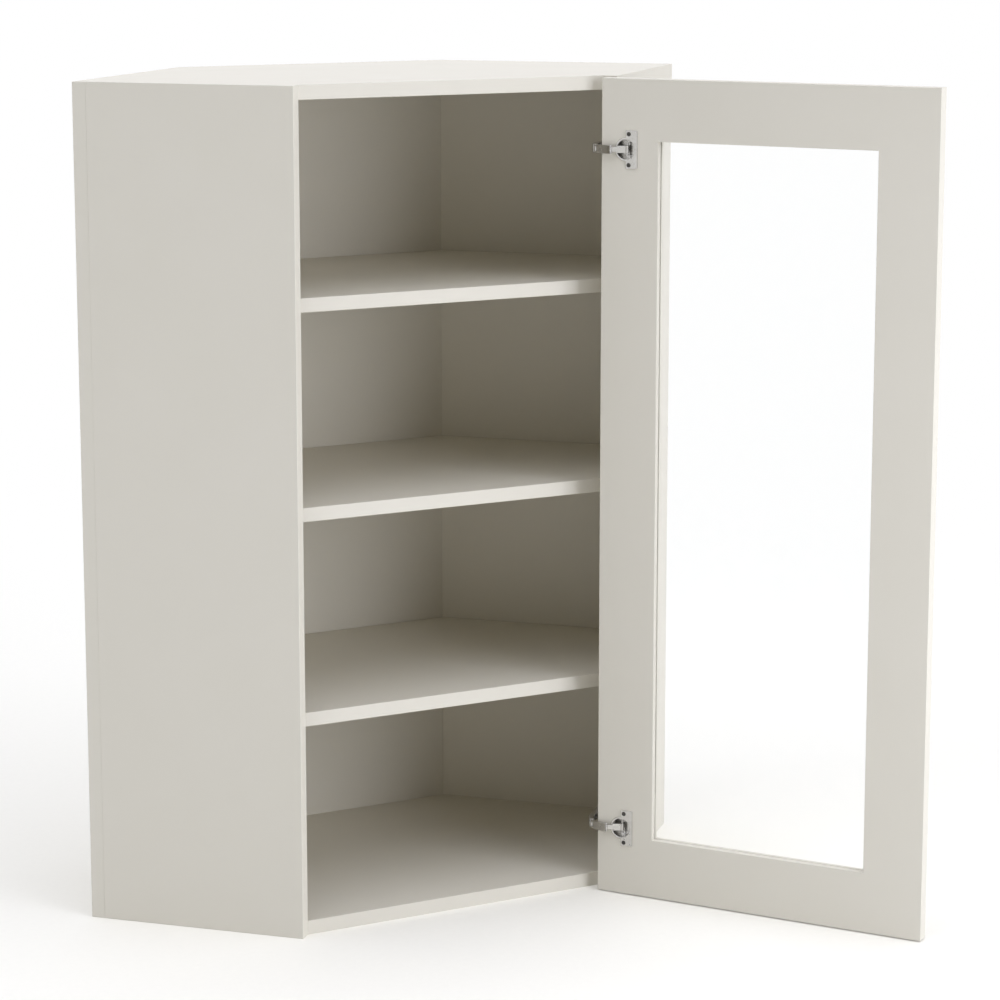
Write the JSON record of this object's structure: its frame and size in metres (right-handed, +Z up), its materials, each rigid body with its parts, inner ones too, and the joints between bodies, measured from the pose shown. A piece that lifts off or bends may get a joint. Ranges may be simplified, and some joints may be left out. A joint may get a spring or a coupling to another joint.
{
  "type": "corner wall cabinet",
  "caption": "Diagonal corner wall cabinet with loose shelves and a framed glass door hung on concealed folding-lever hinges, its back cut off square to the room corner.",
  "frame": {"origin": "centre of the carcass underside, midway between the outer ends and midway between the front corners and the back panel's outer face", "axes": "+Z up, -Y out of the doorway, X across the doorway with +X to the right seen from the front; X=0 is the plane of symmetry of the carcass"},
  "size_m": [0.8966, 0.8116, 1.0668],
  "materials": {
    "paint": "satin light grey paint on sheet board",
    "door_paint": "satin light grey paint on timber",
    "clear_glass": "clear",
    "nickel": "nickel plated",
    "zinc_screw": "zinc plated"
  },
  "bodies": {
    "cabinet": {"left_end_panel": "paint", "right_end_panel": "paint", "left_wall_panel": "paint", "right_wall_panel": "paint", "back_panel": "paint", "bottom_panel": "paint", "top_panel": "paint", "lower_shelf": "paint", "middle_shelf": "paint", "upper_shelf": "paint", "shelf_pins": "nickel", "lower_mounting_plate": "nickel", "lower_plate_screws": "zinc_screw", "lower_hinge_arm": "nickel", "lower_arm_screws": "zinc_screw", "upper_mounting_plate": "nickel", "upper_plate_screws": "zinc_screw", "upper_hinge_arm": "nickel", "upper_arm_screws": "zinc_screw"},
    "door": {"hinge_stile": "door_paint", "free_stile": "door_paint", "bottom_rail": "door_paint", "top_rail": "door_paint", "glass_pane": "clear_glass", "lower_hinge_cup": "nickel", "lower_cup_screws": "zinc_screw", "lower_cup_pin": "nickel", "upper_hinge_cup": "nickel", "upper_cup_screws": "zinc_screw", "upper_cup_pin": "nickel"},
    "lower_inner_lever": {"lower_inner_lever": "nickel", "lower_arm_pin": "nickel", "lower_knuckle_pin": "nickel"},
    "lower_outer_lever": {"lower_outer_lever": "nickel"},
    "upper_inner_lever": {"upper_inner_lever": "nickel", "upper_arm_pin": "nickel", "upper_knuckle_pin": "nickel"},
    "upper_outer_lever": {"upper_outer_lever": "nickel"}
  },
  "joints": [
    {"name": "door_swing", "type": "hinge", "parent": "cabinet", "child": "door", "pos_m": [0.21205, -0.2302, 0.5334], "axis": [0, 0, 1], "range_deg": [-125, 0]},
    {"name": "lower_inner_lever_swing", "type": "hinge", "parent": "cabinet", "child": "lower_inner_lever", "pos_m": [0.19305, -0.2202, 0.0905], "axis": [0, 0, 1], "range_deg": [-125, 0]},
    {"name": "lower_outer_lever_swing", "type": "hinge", "parent": "door", "child": "lower_outer_lever", "pos_m": [0.22001, -0.25222, 0.0905], "axis": [0, 0, 1], "range_deg": [0, 125]},
    {"name": "upper_inner_lever_swing", "type": "hinge", "parent": "cabinet", "child": "upper_inner_lever", "pos_m": [0.19305, -0.2202, 0.9763], "axis": [0, 0, 1], "range_deg": [-125, 0]},
    {"name": "upper_outer_lever_swing", "type": "hinge", "parent": "door", "child": "upper_outer_lever", "pos_m": [0.22001, -0.25222, 0.9763], "axis": [0, 0, 1], "range_deg": [0, 125]}
  ],
  "couplings": [
    {"joint": "lower_inner_lever_swing", "follows": "door_swing", "ratio": 1},
    {"joint": "lower_outer_lever_swing", "follows": "door_swing", "ratio": -1},
    {"joint": "upper_inner_lever_swing", "follows": "door_swing", "ratio": 1},
    {"joint": "upper_outer_lever_swing", "follows": "door_swing", "ratio": -1}
  ]
}
